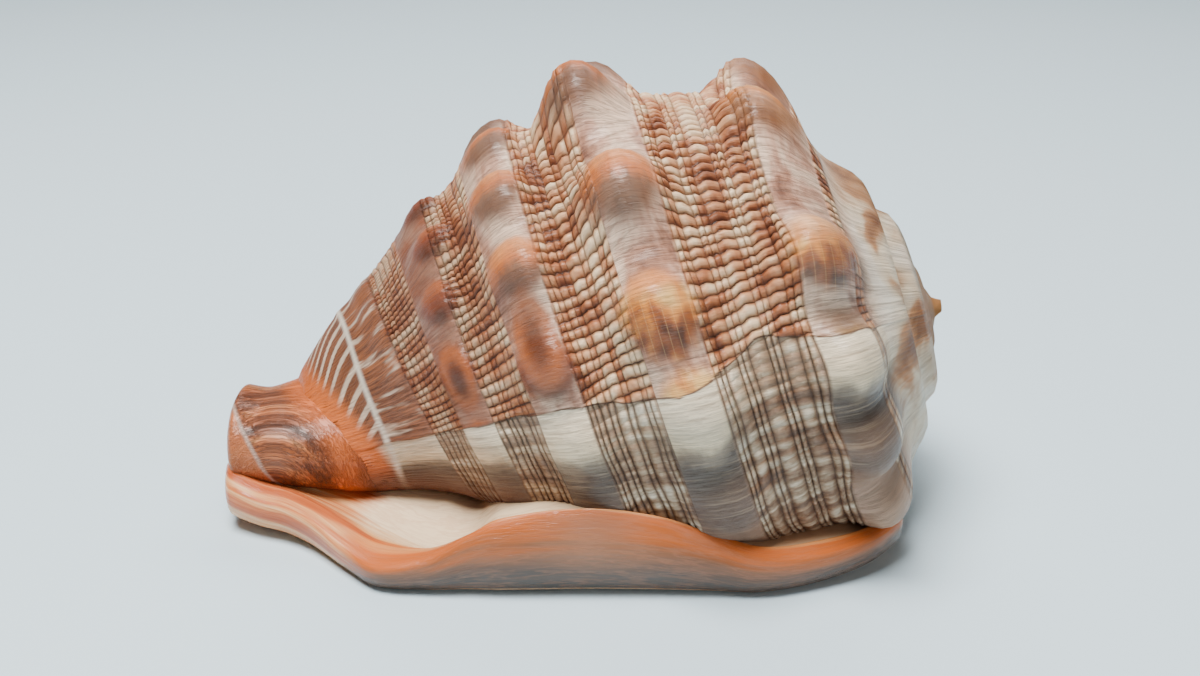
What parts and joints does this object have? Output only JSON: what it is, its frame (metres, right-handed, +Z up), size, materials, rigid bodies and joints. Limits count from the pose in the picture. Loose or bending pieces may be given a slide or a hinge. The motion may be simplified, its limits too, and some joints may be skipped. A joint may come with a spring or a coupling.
{
  "type": "bullmouth helmet shell",
  "caption": "Large knobbed sea snail shell with a thick shield and toothed lip, resting on its mouth as a display piece.",
  "frame": {"origin": "middle of the shell's box on the plane that it rests on", "axes": "+X along the shell towards the spire, -Y towards the shield, +Z up from the resting plane"},
  "size_m": [0.1485, 0.1194, 0.0921],
  "materials": {
    "shell": "semi-gloss natural shell, banded reddish tan, cream and brown, with an orange shield"
  },
  "bodies": {
    "root": {"helmet_shell": "shell"}
  },
  "joints": []
}
